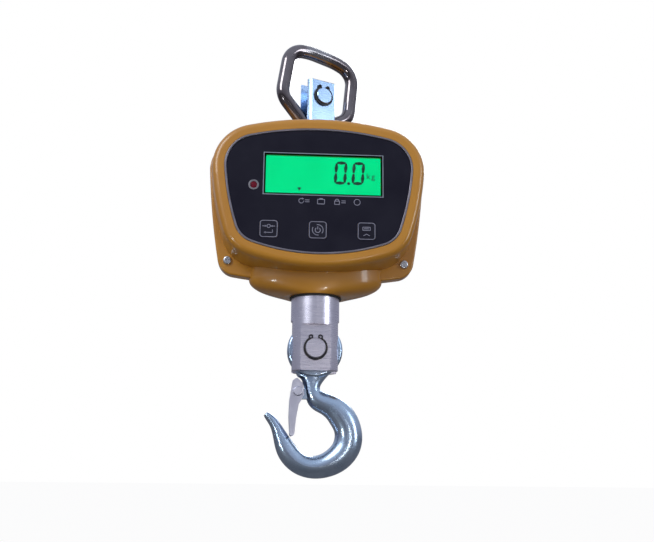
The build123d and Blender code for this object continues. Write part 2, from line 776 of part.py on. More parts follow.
def swivel_nut():
    with BuildPart() as nut:
        with BuildSketch(level(HOUSING_TOP_Z - 33)):
            RegularPolygon(14, 6)
            Circle(8.4, mode=Mode.SUBTRACT)
        extrude(amount=12.6)
        with BuildSketch(Plane(origin=(-20, 0, HOUSING_TOP_Z - 29), x_dir=(0, 1, 0), z_dir=(1, 0, 0))):
            Circle(1.6)
        extrude(amount=40, mode=Mode.SUBTRACT)
    finish_piece(nut.part, "swivel_nut")
    with BuildPart() as lock:
        with BuildSketch(Plane(origin=(-14, 0, HOUSING_TOP_Z - 29), x_dir=(0, 1, 0), z_dir=(1, 0, 0))):
            Circle(1.5)
        extrude(amount=28)
    finish_piece(lock.part, "nut_lock_pin")


def wear_washer():
    with BuildPart() as washer:
        with BuildSketch(level(HOUSING_TOP_Z)):
            Circle(16)
            Circle(SHANK_R + 0.1, mode=Mode.SUBTRACT)
        extrude(amount=1.8)
    finish_piece(washer.part, "wear_washer")


def swivel_clevis():
    with BuildPart() as block:
        with BuildSketch(turned(BLOCK_BASE_Z)):
            Circle(BLOCK_R)
        extrude(amount=BLOCK_TOP_Z - BLOCK_BASE_Z)
        for side in (-1, 1):
            with BuildSketch(turned(HOOK_PIN_Z + 222)):
                with Locations((0, side * (BLOCK_FLAT + 5))):
                    Rectangle(50, 10)
            extrude(amount=60, mode=Mode.SUBTRACT)
        chamfer(block.faces().sort_by(Axis.Z)[-1].edges(), 0.8)
        with BuildSketch(turned(SLOT_FLOOR_Z)):
            Rectangle(50, RING_SLOT)
        extrude(amount=80, mode=Mode.SUBTRACT)
        with BuildSketch(across_pin(0)):
            Circle(RING_PIN_R + RUNNING)
        extrude(amount=30, both=True, mode=Mode.SUBTRACT)
        with BuildSketch(level(BLOCK_BASE_Z)):
            Circle(SHANK_R)
        extrude(amount=-22.3)
        with BuildSketch(level(BLOCK_BASE_Z - 22.3)):
            Circle(8.3)
        extrude(amount=-18)
        with BuildSketch(Plane(origin=(-20, 0, HOUSING_TOP_Z - 29), x_dir=(0, 1, 0), z_dir=(1, 0, 0))):
            Circle(1.6)
        extrude(amount=40, mode=Mode.SUBTRACT)
    finish_piece(block.part, "swivel_clevis")


def hanging_ring():
    """Bent round rod: arched top, straight legs and a V that sits under the pin when loaded."""
    plane = across_pin(0, RING_TILT)
    bottom = -RING_PIN_R - ROD_R - CLEAR - RING_DROP
    x = -RING_ASIDE
    with BuildPart() as ring:
        with BuildLine(plane):
            half = FilletPolyline(
                (x, 48),
                (x - 14, 48),
                (x - 36, 43.5),
                (x - 37.5, bottom + 23.5),
                (x - 8, bottom),
                (x, bottom),
                radius=(60, 18, 18, 20),
            )
        with BuildSketch(Plane(origin=half @ 0, z_dir=half % 0)):
            Circle(ROD_R)
        sweep(path=half)
        mirror(about=Plane(origin=half @ 0, z_dir=plane.x_dir))
    finish_piece(ring.part, "hanging_ring")


# ---------------------------------------------------------------- hook and latch
HOOK_STATIONS = (
    # centre x, centre z below the pin, radial half depth, half thickness, heading in degrees below +X
    (-0.8, -19.5, 16.4, 6.3, 90),
    (-1.4, -25.5, 11.6, 6.7, 90),
    (-2.0, -32.5, 7.7, 7.0, 88),
    (1.0, -42.5, 8.6, 8.0, 50),
    (13.5, -49.5, 10.6, 9.5, 38),
    (25.0, -59.5, 12.2, 10.6, 55),
    (31.2, -72.5, 12.4, 11.0, 82),
    (30.2, -86.0, 12.6, 11.0, 108),
    (23.2, -96.0, 12.0, 11.0, 135),
    (11.8, -102.8, 10.8, 10.6, 158),
    (-1.0, -104.9, 9.9, 10.0, 180),
    (-13.6, -101.0, 9.6, 9.2, 207),
    (-24.0, -90.5, 9.0, 8.2, 236),
    (-30.6, -77.0, 6.3, 6.6, 245),
    (-36.6, -65.5, 4.4, 5.4, 238),
    (-43.4, -58.0, 2.6, 4.2, 228),
)
LATCH_X = -15.0
LATCH_Z = HOOK_PIN_Z - 38.0
RIVET_R = 3.0
LUG_HALF = 4.0
CHEEK_IN = 8.0
CHEEK_OUT = 9.4


def hook():
    with BuildPart() as forged:
        with BuildSketch(facing(EYE_THICK / 2, HOOK_PIN_Z)):
            Circle(EYE_R)
        extrude(amount=EYE_THICK)
        fillet(forged.edges(), 3)
        for x, z, half_depth, half_thick, heading in HOOK_STATIONS:
            along = (cos(radians(heading)), 0, -sin(radians(heading)))
            outward = (along[2] * -1, 0, along[0])
            with BuildSketch(Plane(origin=(x, 0, HOOK_PIN_Z + z), x_dir=outward, z_dir=along)):
                Ellipse(half_depth, half_thick)
        loft()
        with BuildSketch(facing(LUG_HALF, LATCH_Z, LATCH_X)):
            Circle(5)
            with Locations((6, -2)):
                Rectangle(12, 9)
        extrude(amount=2 * LUG_HALF)
        with BuildSketch(facing(0, HOOK_PIN_Z)):
            Circle(HOOK_PIN_R + RUNNING)
        extrude(amount=30, both=True, mode=Mode.SUBTRACT)
        with BuildSketch(facing(0, LATCH_Z, LATCH_X)):
            Circle(RIVET_R + RUNNING)
        extrude(amount=30, both=True, mode=Mode.SUBTRACT)
    finish_piece(forged.part, "hook")


def safety_latch():
    side = ((-20.0, -28.5), (-16.0, -25.8), (-10.5, -31.0), (-9.5, -41.5), (-14.0, -49.0), (-16.2, -62.0),
            (-17.6, -76.5), (-21.8, -78.5), (-23.0, -60.0), (-22.6, -45.0))
    with BuildPart() as latch:
        with BuildSketch(facing(CHEEK_OUT, HOOK_PIN_Z)):
            with BuildLine():
                Polyline(*side, close=True)
            make_face()
            fillet(vertices(), 1.6)
        extrude(amount=2 * CHEEK_OUT)
        with BuildSketch(facing(CHEEK_IN, HOOK_PIN_Z)):
            with BuildLine():
                Polyline(*((x + 1.4, z) for x, z in side), close=True)
            make_face()
            with Locations((-8, -31), (-12, -27)):
                Rectangle(14, 14)
        extrude(amount=2 * CHEEK_IN, mode=Mode.SUBTRACT)
        with BuildSketch(facing(0, LATCH_Z, LATCH_X)):
            Circle(RIVET_R + RUNNING)
        extrude(amount=30, both=True, mode=Mode.SUBTRACT)
    finish_piece(latch.part, "safety_latch")


def latch_rivet():
    with BuildPart() as rivet:
        with BuildSketch(facing(CHEEK_OUT + 0.2, LATCH_Z, LATCH_X)):
            Circle(RIVET_R)
        extrude(amount=2 * (CHEEK_OUT + 0.2))
        for start in (CHEEK_OUT + 1.4, -CHEEK_OUT - 0.2):
            with BuildSketch(facing(start, LATCH_Z, LATCH_X)):
                Circle(RIVET_R + 1.4)
            extrude(amount=1.2)
        fillet(rivet.edges().filter_by(lambda e: abs(e.center().Y) > CHEEK_OUT + 1), 0.9)
    finish_piece(rivet.part, "latch_rivet")


def latch_spring():
    with BuildPart() as spring:
        for start in (-LUG_HALF - 0.2, LUG_HALF + 3.6):
            with BuildSketch(facing(start, LATCH_Z, LATCH_X)):
                Circle(4.4)
                Circle(3.2, mode=Mode.SUBTRACT)
            extrude(amount=3.4)
            with BuildSketch(facing(start - 1.2, LATCH_Z, LATCH_X)):
                with Locations((-3.8, -9)):
                    Rectangle(1.2, 18)
            extrude(amount=1.2)
    finish_piece(spring.part, "latch_spring")


def main():
    front_casing()
    rear_casing()
    casing_gasket()
    ears = [(side * EAR_SCREW_X, EAR_SCREW_Z) for side in (-1, 1)]
    uppers = [(side * REAR_SCREW_X, REAR_SCREW_Z) for side in (-1, 1)]
    cover_places = [(BATTERY_X + sx * (COVER_W - 10) / 2, BATTERY_Z + sz * (COVER_H - 7) / 2)
                    for sx in (-1, 1) for sz in (-1, 1)]
    board_places = [(sx * 66.0, PANEL_Z + sz * 42.0) for sx in (-1, 1) for sz in (-1, 1)]
    pan_screw("front_screws", ears, FLANGE_FACE_Y, 12.5, SCREW_R, HEAD_R, 2.6, True)
    pan_screw("rear_screws", uppers, REAR_FLANGE_Y, 16, SCREW_R, HEAD_R, 2.6, False)
    pan_screw("battery_cover_screws", cover_places, BACK_Y, 5, 1.25, 2.6, 1.4, False)
    pan_screw("board_screws", board_places, BOARD_Y + BOARD_T, 7, 1.5, 2.8, 1.8, False)
    seals()
    panel_trim()
    panel_overlay()
    display()
    main_board()
    key_switches()
    panel_keys()
    charge_lamp()
    ir_receiver()
    battery()
    battery_cover()
    charge_socket()
    load_cell()
    strain_gauges()
    load_cell_cable()
    mounting_plate()
    plate_screws()
    grooved_pin("lower_pin", hook_pin_plane, HOOK_PIN_R, FORK_FLAT, 3.0)
    circlips("lower_circlips", hook_pin_plane, HOOK_PIN_R, (-FORK_FLAT - 1.45, FORK_FLAT + 0.25))
    swivel_housing()
    thrust_bearing()
    swivel_nut()
    wear_washer()
    swivel_clevis()
    grooved_pin("upper_pin", across_pin, RING_PIN_R, BLOCK_FLAT, 3.0)
    circlips("upper_circlips", across_pin, RING_PIN_R, (-BLOCK_FLAT - 1.45, BLOCK_FLAT + 0.25))
    hanging_ring()
    hook()
    safety_latch()
    latch_rivet()
    latch_spring()


main()
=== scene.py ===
"""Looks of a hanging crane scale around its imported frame: finishes, lit display, printed panel, studio."""

import json
import logging
import math
from dataclasses import dataclass, field
from enum import Enum

import bmesh
import bpy
from mathutils import Matrix, Vector


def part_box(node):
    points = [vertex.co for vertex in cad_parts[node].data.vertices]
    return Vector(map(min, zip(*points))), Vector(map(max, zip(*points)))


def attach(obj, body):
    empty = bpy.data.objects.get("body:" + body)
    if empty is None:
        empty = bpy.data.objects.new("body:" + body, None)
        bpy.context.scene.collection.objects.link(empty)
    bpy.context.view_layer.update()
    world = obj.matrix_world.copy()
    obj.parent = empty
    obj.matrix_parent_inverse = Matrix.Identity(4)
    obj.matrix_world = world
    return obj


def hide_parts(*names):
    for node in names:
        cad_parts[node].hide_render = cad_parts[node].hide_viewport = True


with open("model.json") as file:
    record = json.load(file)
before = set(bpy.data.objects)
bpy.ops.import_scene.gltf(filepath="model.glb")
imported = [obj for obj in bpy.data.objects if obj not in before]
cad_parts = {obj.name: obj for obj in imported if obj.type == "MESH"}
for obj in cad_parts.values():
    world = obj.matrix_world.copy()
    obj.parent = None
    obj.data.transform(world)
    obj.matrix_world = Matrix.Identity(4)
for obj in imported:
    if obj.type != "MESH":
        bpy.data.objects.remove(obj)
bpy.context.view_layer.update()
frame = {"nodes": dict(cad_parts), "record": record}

log = logging.getLogger("crane_scale")
MM = 0.001
WELD_DISTANCE = 1e-7
# Sockets of a Mix node that is set to colours, which share their names with its other kinds.
MIX_FACTOR, MIX_FIRST, MIX_SECOND, MIX_RESULT = 0, 6, 7, 2


class Grain(Enum):
    """How the surface of a finish is worked."""

    SPRAYED = "sprayed"
    TURNED = "turned"
    FORGED = "forged"
    ROLLED = "rolled"
    MOULDED = "moulded"


@dataclass
class EffectGroups:
    """The shader node groups that more than one finish uses, each built once."""

    built: dict = field(default_factory=dict)
    patch_detail: float = 4.0
    grain_detail: float = 3.0
    line_contrast: tuple = (0.3, 0.7)
    rub_fade: tuple = (1.6, 1.1)

    def start(self, name: str, inputs: tuple, outputs: tuple) -> tuple:
        """Starts an empty group with its sockets.

        Args:
            name: The group's name.
            inputs: Name, socket type and default of each input.
            outputs: Name and socket type of each output.

        Returns:
            The group's tree, its input node and its output node.
        """
        tree = bpy.data.node_groups.new(name, "ShaderNodeTree")
        for label, kind, default in inputs:
            made = tree.interface.new_socket(name=label, in_out="INPUT", socket_type=kind)
            made.default_value = default
        for label, kind in outputs:
            tree.interface.new_socket(name=label, in_out="OUTPUT", socket_type=kind)
        return tree, tree.nodes.new("NodeGroupInput"), tree.nodes.new("NodeGroupOutput")

    def noise(self, tree: bpy.types.NodeTree, detail: float) -> bpy.types.Node:
        """Adds a noise texture.

        Args:
            tree: The group's tree.
            detail: How many finer layers it has.

        Returns:
            The texture's node.
        """
        made = tree.nodes.new("ShaderNodeTexNoise")
        made.inputs["Detail"].default_value = detail
        return made

    def working(self, tree: bpy.types.NodeTree, kind: str, operation: str) -> bpy.types.Node:
        """Adds a node that works on numbers or vectors.

        Args:
            tree: The group's tree.
            kind: Math or VectorMath.
            operation: What it works out.

        Returns:
            The node.
        """
        made = tree.nodes.new(f"ShaderNode{kind}")
        made.operation = operation
        return made

    def spread(self, tree: bpy.types.NodeTree, ends: tuple = ()) -> bpy.types.Node:
        """Adds a node that stretches a range to 0 and 1.

        Args:
            tree: The group's tree.
            ends: The values that become 0 and 1, or none where they are linked.

        Returns:
            The node.
        """
        made = tree.nodes.new("ShaderNodeMapRange")
        for label, value in zip(("From Min", "From Max"), ends):
            made.inputs[label].default_value = value
        return made

    def mottle(self) -> bpy.types.NodeTree:
        """Uneven patches on two scales, as plating, paint and handling leave them.

        Returns:
            A group with Scale, Fine Scale, Low and High in, and Mask and Height out.
        """
        if "mottle" in self.built:
            return self.built["mottle"]
        inputs = (
            ("Scale", "NodeSocketFloat", 40.0),
            ("Fine Scale", "NodeSocketFloat", 400.0),
            ("Low", "NodeSocketFloat", 0.35),
            ("High", "NodeSocketFloat", 0.65),
        )
        tree, source, target = self.start(
            "Mottle", inputs, (("Mask", "NodeSocketFloat"), ("Height", "NodeSocketFloat"))
        )
        place = tree.nodes.new("ShaderNodeTexCoord")
        broad = self.noise(tree, self.patch_detail)
        fine = self.noise(tree, self.grain_detail)
        spread = self.spread(tree)
        link = tree.links.new
        link(place.outputs["Object"], broad.inputs["Vector"])
        link(place.outputs["Object"], fine.inputs["Vector"])
        link(source.outputs["Scale"], broad.inputs["Scale"])
        link(source.outputs["Fine Scale"], fine.inputs["Scale"])
        link(broad.outputs["Fac"], spread.inputs["Value"])
        link(source.outputs["Low"], spread.inputs["From Min"])
        link(source.outputs["High"], spread.inputs["From Max"])
        link(spread.outputs["Result"], target.inputs["Mask"])
        link(fine.outputs["Fac"], target.inputs["Height"])
        self.built["mottle"] = tree
        return tree

    def tool_lines(self) -> bpy.types.NodeTree:
        """Fine parallel lines, as turning and rolling leave them.

        Returns:
            A group with Stretch in, and Mask and Height out.
        """
        if "tool_lines" in self.built:
            return self.built["tool_lines"]
        inputs = (("Stretch", "NodeSocketVector", (30.0, 30.0, 2600.0)),)
        tree, source, target = self.start(
            "Tool lines", inputs, (("Mask", "NodeSocketFloat"), ("Height", "NodeSocketFloat"))
        )
        place = tree.nodes.new("ShaderNodeTexCoord")
        stretch = self.working(tree, "VectorMath", "MULTIPLY")
        noise = self.noise(tree, self.grain_detail)
        noise.inputs["Scale"].default_value = 1.0
        spread = self.spread(tree, self.line_contrast)
        link = tree.links.new
        link(place.outputs["Object"], stretch.inputs[0])
        link(source.outputs["Stretch"], stretch.inputs[1])
        link(stretch.outputs["Vector"], noise.inputs["Vector"])
        link(noise.outputs["Fac"], spread.inputs["Value"])
        link(spread.outputs["Result"], target.inputs["Mask"])
        link(noise.outputs["Fac"], target.inputs["Height"])
        self.built["tool_lines"] = tree
        return tree

    def rubbed(self) -> bpy.types.NodeTree:
        """A worn patch round a line along Y, where a load or a finger rubs.

        Returns:
            A group with Centre, Reach and Breakup in, and Mask out.
        """
        if "rubbed" in self.built:
            return self.built["rubbed"]
        inputs = (
            ("Centre", "NodeSocketVector", (0.0, 0.0, 0.0)),
            ("Reach", "NodeSocketFloat", 0.02),
            ("Breakup", "NodeSocketFloat", 300.0),
        )
        tree, source, target = self.start("Rubbed patch", inputs, (("Mask", "NodeSocketFloat"),))
        place = tree.nodes.new("ShaderNodeTexCoord")
        away = self.working(tree, "VectorMath", "SUBTRACT")
        flat = self.working(tree, "VectorMath", "MULTIPLY")
        flat.inputs[1].default_value = (1.0, 0.0, 1.0)
        reach = self.working(tree, "VectorMath", "LENGTH")
        fade = self.working(tree, "Math", "DIVIDE")
        noise = self.noise(tree, self.patch_detail)
        total = self.working(tree, "Math", "ADD")
        spread = self.spread(tree, self.rub_fade)
        link = tree.links.new
        link(place.outputs["Object"], away.inputs[0])
        link(source.outputs["Centre"], away.inputs[1])
        link(away.outputs["Vector"], flat.inputs[0])
        link(flat.outputs["Vector"], reach.inputs[0])
        link(reach.outputs["Value"], fade.inputs[0])
        link(source.outputs["Reach"], fade.inputs[1])
        link(place.outputs["Object"], noise.inputs["Vector"])
        link(source.outputs["Breakup"], noise.inputs["Scale"])
        link(fade.outputs["Value"], total.inputs[0])
        link(noise.outputs["Fac"], total.inputs[1])
        link(total.outputs["Value"], spread.inputs["Value"])
        link(spread.outputs["Result"], target.inputs["Mask"])
        self.built["rubbed"] = tree
        return tree


GROUPS = EffectGroups()


@dataclass(frozen=True)
class Finish:
    """One surface finish: two close colours, a range of gloss, and the grain that its making leaves."""

    name: str
    colour: tuple
    shade: tuple
    gloss: tuple = (0.3, 0.45)
    metallic: float = 0.0
    coat: float = 0.0
    coat_roughness: float = 0.1
    clear: float = 0.0
    ior: float = 1.5
    grain: Grain = Grain.MOULDED
    patch: float = 40.0
    pores: float = 600.0
    relief: float = 0.05
    relief_depth: float = 0.0002
    lines: tuple = (30.0, 30.0, 2600.0)
    rub_centre: tuple = ()
    rub_reach: float = 0.02
    rub_colour: tuple = (0.8, 0.8, 0.8)
    glow: tuple = ()
    glow_edge: tuple = ()
    glow_strength: float = 0.0

    def effect(self, tree: bpy.types.NodeTree, group: bpy.types.NodeTree) -> bpy.types.Node:
        """Places a shared group in this finish's material.

        Args:
            tree: The material's node tree.
            group: The shared group.

        Returns:
            The group node.
        """
        node = tree.nodes.new("ShaderNodeGroup")
        node.node_tree = group
        return node

    def blend_colours(
        self, tree: bpy.types.NodeTree, mask: bpy.types.NodeSocket, first: object, second: object
    ) -> bpy.types.NodeSocket:
        """Mixes two colours by a mask.

        Args:
            tree: The material's node tree.
            mask: The mask's output socket.
            first: A colour or an output socket, where the mask is 0.
            second: A colour, where the mask is 1.

        Returns:
            The mixed colour's output socket.
        """
        mix = tree.nodes.new("ShaderNodeMix")
        mix.data_type = "RGBA"
        tree.links.new(mask, mix.inputs[MIX_FACTOR])
        if isinstance(first, bpy.types.NodeSocket):
            tree.links.new(first, mix.inputs[MIX_FIRST])
        else:
            mix.inputs[MIX_FIRST].default_value = (*first, 1.0)
        mix.inputs[MIX_SECOND].default_value = (*second, 1.0)
        return mix.outputs[MIX_RESULT]

    def material(self) -> bpy.types.Material:
        """Builds the finish as a material.

        Returns:
            The new material.
        """
        made = bpy.data.materials.new(self.name)
        made.use_nodes = True
        tree = made.node_tree
        tree.nodes.clear()
        link = tree.links.new
        target = tree.nodes.new("ShaderNodeOutputMaterial")
        shader = tree.nodes.new("ShaderNodeBsdfPrincipled")
        link(shader.outputs["BSDF"], target.inputs["Surface"])
        shader.inputs["Metallic"].default_value = self.metallic
        shader.inputs["IOR"].default_value = self.ior
        shader.inputs["Coat Weight"].default_value = self.coat
        shader.inputs["Coat Roughness"].default_value = self.coat_roughness
        shader.inputs["Transmission Weight"].default_value = self.clear
        mottle = self.effect(tree, GROUPS.mottle())
        mottle.inputs["Scale"].default_value = self.patch
        mottle.inputs["Fine Scale"].default_value = self.pores
        mask, height = mottle.outputs["Mask"], mottle.outputs["Height"]
        colour = self.blend_colours(tree, mask, self.colour, self.shade)
        if self.grain in (Grain.TURNED, Grain.ROLLED):
            lines = self.effect(tree, GROUPS.tool_lines())
            lines.inputs["Stretch"].default_value = self.lines
            height = lines.outputs["Height"]
            mask = lines.outputs["Mask"]
        gloss = tree.nodes.new("ShaderNodeMapRange")
        gloss.inputs["To Min"].default_value = self.gloss[0]
        gloss.inputs["To Max"].default_value = self.gloss[1]
        link(mask, gloss.inputs["Value"])
        if self.rub_centre:
            rub = self.effect(tree, GROUPS.rubbed())
            rub.inputs["Centre"].default_value = self.rub_centre
            rub.inputs["Reach"].default_value = self.rub_reach
            colour = self.blend_colours(tree, rub.outputs["Mask"], colour, self.rub_colour)
        link(colour, shader.inputs["Base Color"])
        link(gloss.outputs["Result"], shader.inputs["Roughness"])
        bump = tree.nodes.new("ShaderNodeBump")
        bump.inputs["Strength"].default_value = self.relief
        bump.inputs["Distance"].default_value = self.relief_depth
        link(height, bump.inputs["Height"])
        link(bump.outputs["Normal"], shader.inputs["Normal"])
        if self.glow:
            lit = self.blend_colours(tree, mask, self.glow, self.glow_edge)
            link(lit, shader.inputs["Emission Color"])
            shader.inputs["Emission Strength"].default_value = self.glow_strength
        return made


AMBER_PAINT = Finish(
    "amber_gloss_paint", (0.50, 0.215, 0.012), (0.44, 0.18, 0.009), (0.28, 0.38), coat=0.5,
    coat_roughness=0.06, grain=Grain.SPRAYED, patch=14.0, pores=750.0, relief=0.12,
    relief_depth=0.00015,
)
RING_CHROME = Finish(
    "bent_rod_chrome", (0.24, 0.21, 0.215), (0.17, 0.145, 0.15), (0.08, 0.17), metallic=1.0,
    patch=70.0, pores=900.0, relief=0.08, relief_depth=0.00012, rub_centre=(0.0, 0.0, 0.391),
    rub_reach=0.014, rub_colour=(0.34, 0.32, 0.33),
)
HOOK_ZINC = Finish(
    "bright_zinc_forging", (0.52, 0.62, 0.76), (0.38, 0.48, 0.62), (0.17, 0.3), metallic=1.0,
    grain=Grain.FORGED, patch=55.0, pores=240.0, relief=0.22, relief_depth=0.0004,
    rub_centre=(0.0, 0.0, 0.019), rub_reach=0.018, rub_colour=(0.66, 0.68, 0.71),
)
TURNED_NICKEL = Finish(
    "turned_nickel_column", (0.74, 0.70, 0.78), (0.64, 0.61, 0.70), (0.24, 0.36), metallic=1.0,
    grain=Grain.TURNED, patch=45.0, relief=0.05, relief_depth=0.0001,
)
SATIN_BLOCK = Finish(
    "satin_nickel_block", (0.44, 0.60, 0.84), (0.38, 0.53, 0.77), (0.24, 0.34), metallic=1.0,
    grain=Grain.TURNED, patch=60.0, relief=0.06, relief_depth=0.0001,
)
BLACK_SPRING = Finish(
    "oil_blacked_spring_steel", (0.022, 0.022, 0.027), (0.05, 0.045, 0.045), (0.3, 0.46),
    metallic=0.7, patch=120.0, relief=0.1,
)
PRESSED_ZINC = Finish(
    "pressed_zinc_latch", (0.62, 0.62, 0.72), (0.5, 0.5, 0.6), (0.28, 0.4), metallic=1.0,
    grain=Grain.ROLLED, patch=80.0, lines=(500.0, 30.0, 60.0), relief=0.02, relief_depth=0.00005,
)
ZINC_SCREW = Finish(
    "zinc_screw", (0.62, 0.62, 0.63), (0.5, 0.5, 0.53), (0.22, 0.36), metallic=1.0, patch=160.0,
    relief=0.08,
)
PANEL_FILM = Finish(
    "dark_panel_film", (0.0095, 0.0085, 0.0165), (0.013, 0.012, 0.021), (0.3, 0.4), ior=1.22,
    patch=30.0, pores=1600.0, relief=0.06, relief_depth=0.0001,
)
KEY_FILM = Finish(
    "embossed_key_film", (0.011, 0.010, 0.018), (0.016, 0.015, 0.025), (0.34, 0.44), ior=1.25,
    patch=60.0, pores=1600.0, relief=0.06, relief_depth=0.0001,
)
TRIM_SILVER = Finish(
    "silver_panel_trim", (0.27, 0.245, 0.27), (0.21, 0.19, 0.215), (0.28, 0.4), metallic=0.85,
    grain=Grain.ROLLED, patch=60.0, lines=(40.0, 40.0, 900.0), relief=0.05,
)
LIT_DISPLAY = Finish(
    "lit_green_display", (0.0, 0.10, 0.04), (0.0, 0.085, 0.034), (0.45, 0.55), ior=1.1, patch=24.0,
    relief=0.02, glow=(0.0, 0.80, 0.27), glow_edge=(0.0, 0.72, 0.24), glow_strength=0.93,
)
DISPLAY_INK = Finish(
    "dark_display_segments", (0.001, 0.014, 0.010), (0.002, 0.02, 0.014), (0.4, 0.5), patch=200.0,
    glow=(0.0, 0.03, 0.012), glow_edge=(0.0, 0.045, 0.018), glow_strength=0.5,
)
DISPLAY_BORDER = Finish(
    "display_border_print", (0.24, 0.27, 0.30), (0.19, 0.22, 0.25), (0.4, 0.5), patch=80.0,
    relief=0.03,
)
PALE_INK = Finish(
    "pale_panel_ink", (0.26, 0.25, 0.31), (0.19, 0.185, 0.24), (0.45, 0.6), patch=300.0,
    pores=3000.0, relief=0.05,
)
WINDOW = Finish(
    "clear_window", (0.96, 1.0, 0.98), (0.94, 0.99, 0.97), (0.03, 0.05), clear=1.0, ior=1.1,
    patch=30.0, relief=0.01,
)
RED_LENS = Finish(
    "red_lamp_lens", (0.11, 0.004, 0.014), (0.07, 0.003, 0.010), (0.15, 0.25), ior=1.3, patch=420.0,
    relief=0.04, glow=(0.16, 0.002, 0.010), glow_edge=(0.03, 0.001, 0.005), glow_strength=0.3,
)
COLLAR_GREY = Finish(
    "moulded_grey_collar", (0.2, 0.19, 0.21), (0.16, 0.15, 0.17), (0.35, 0.48), patch=200.0,
)
SEAL_RUBBER = Finish(
    "black_seal_rubber", (0.02, 0.02, 0.021), (0.03, 0.029, 0.029), (0.6, 0.75), patch=70.0,
    pores=900.0, relief=0.2,
)
CUSHION_FOAM = Finish(
    "grey_cell_foam", (0.14, 0.14, 0.145), (0.1, 0.1, 0.105), (0.85, 0.95), patch=400.0,
    pores=2200.0, relief=0.6,
)
BOARD_GREEN = Finish(
    "solder_mask_green", (0.016, 0.13, 0.055), (0.012, 0.1, 0.043), (0.25, 0.4), patch=260.0,
    pores=1500.0,
)
PART_BLACK = Finish(
    "moulded_black_part", (0.022, 0.022, 0.024), (0.032, 0.031, 0.033), (0.4, 0.55), patch=180.0,
)
LIGHT_GUIDE = Finish(
    "white_light_guide", (0.78, 0.84, 0.79), (0.72, 0.79, 0.74), (0.4, 0.5), patch=90.0,
)
GAUGE_FOIL = Finish(
    "gauge_foil", (0.58, 0.4, 0.18), (0.45, 0.3, 0.13), (0.3, 0.42), metallic=0.6,
    grain=Grain.ROLLED, patch=200.0,
)
BEARING_BRONZE = Finish(
    "bearing_bronze", (0.56, 0.34, 0.14), (0.44, 0.26, 0.1), (0.24, 0.36), metallic=1.0,
    grain=Grain.TURNED, patch=90.0,
)
CELL_WRAP = Finish(
    "battery_shrink_wrap", (0.04, 0.1, 0.27), (0.03, 0.08, 0.22), (0.2, 0.32), coat=0.3, patch=60.0,
    relief=0.12,
)
CABLE_GREY = Finish(
    "grey_cable_sheath", (0.2, 0.2, 0.21), (0.16, 0.16, 0.17), (0.5, 0.62), patch=200.0, relief=0.1,
)
PLATE_ZINC = Finish(
    "rolled_zinc_plate", (0.55, 0.55, 0.53), (0.46, 0.46, 0.45), (0.28, 0.42), metallic=1.0,
    grain=Grain.ROLLED, patch=110.0, lines=(30.0, 900.0, 30.0), relief=0.08,
)
STUDIO_FLOOR = Finish(
    "pale_studio_floor", (0.16, 0.145, 0.14), (0.13, 0.12, 0.115), (0.7, 0.8), patch=3.0,
    pores=60.0, relief=0.02,
)

FINISH_OF_SLOT = {
    "case_paint": AMBER_PAINT,
    "screw_steel": ZINC_SCREW,
    "ring_chrome": RING_CHROME,
    "hook_plate": HOOK_ZINC,
    "cell_nickel": TURNED_NICKEL,
    "block_steel": SATIN_BLOCK,
    "clip_steel": BLACK_SPRING,
    "latch_steel": PRESSED_ZINC,
    "overlay_film": PANEL_FILM,
    "trim_silver": TRIM_SILVER,
    "key_film": KEY_FILM,
    "lcd_green": LIT_DISPLAY,
    "window_clear": WINDOW,
    "lamp_red": RED_LENS,
    "collar_grey": COLLAR_GREY,
    "seal_rubber": SEAL_RUBBER,
    "foam_grey": CUSHION_FOAM,
    "board_green": BOARD_GREEN,
    "part_black": PART_BLACK,
    "light_white": LIGHT_GUIDE,
    "gauge_foil": GAUGE_FOIL,
    "bronze": BEARING_BRONZE,
    "battery_wrap": CELL_WRAP,
    "cable_grey": CABLE_GREY,
    "plate_zinc": PLATE_ZINC,
}


@dataclass
class Paintshop:
    """Keeps one material for each finish and dresses the pieces with them."""

    made: dict = field(default_factory=dict)

    def material(self, finish: Finish) -> bpy.types.Material:
        """The material of a finish, built the first time it is asked for.

        Args:
            finish: The finish.

        Returns:
            Its material.
        """
        if finish.name not in self.made:
            self.made[finish.name] = finish.material()
        return self.made[finish.name]

    def dress_frame(self, nodes: dict, subparts: list) -> None:
        """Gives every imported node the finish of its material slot.

        Args:
            nodes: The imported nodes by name.
            subparts: The record's rows of node and slot.
        """
        for row in subparts:
            finish = FINISH_OF_SLOT[row["material_slot"]]
            for slot in nodes[row["node"]].material_slots:
                slot.material = self.material(finish)
            log.info("%s wears %s", row["node"], finish.name)

    def piece(
        self, name: str, shape: bmesh.types.BMesh, finish: Finish, body: str, slot: str
    ) -> bpy.types.Object:
        """Turns a finished shape into a piece that rides on a body.

        Args:
            name: The piece's name.
            shape: The shape, in place, in metres. It is freed.
            finish: Its finish.
            body: The body that it rides on.
            slot: The name of a material slot; not used.

        Returns:
            The new object.
        """
        bmesh.ops.remove_doubles(shape, verts=shape.verts, dist=WELD_DISTANCE)
        bmesh.ops.recalc_face_normals(shape, faces=shape.faces)
        mesh = bpy.data.meshes.new(name)
        shape.to_mesh(mesh)
        shape.free()
        mesh.materials.append(self.material(finish))
        made = bpy.data.objects.new(name, mesh)
        bpy.context.scene.collection.objects.link(made)
        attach(made, body)
        log.info("%s rides on %s with %d faces", name, body, len(mesh.polygons))
        return made


SHOP = Paintshop()


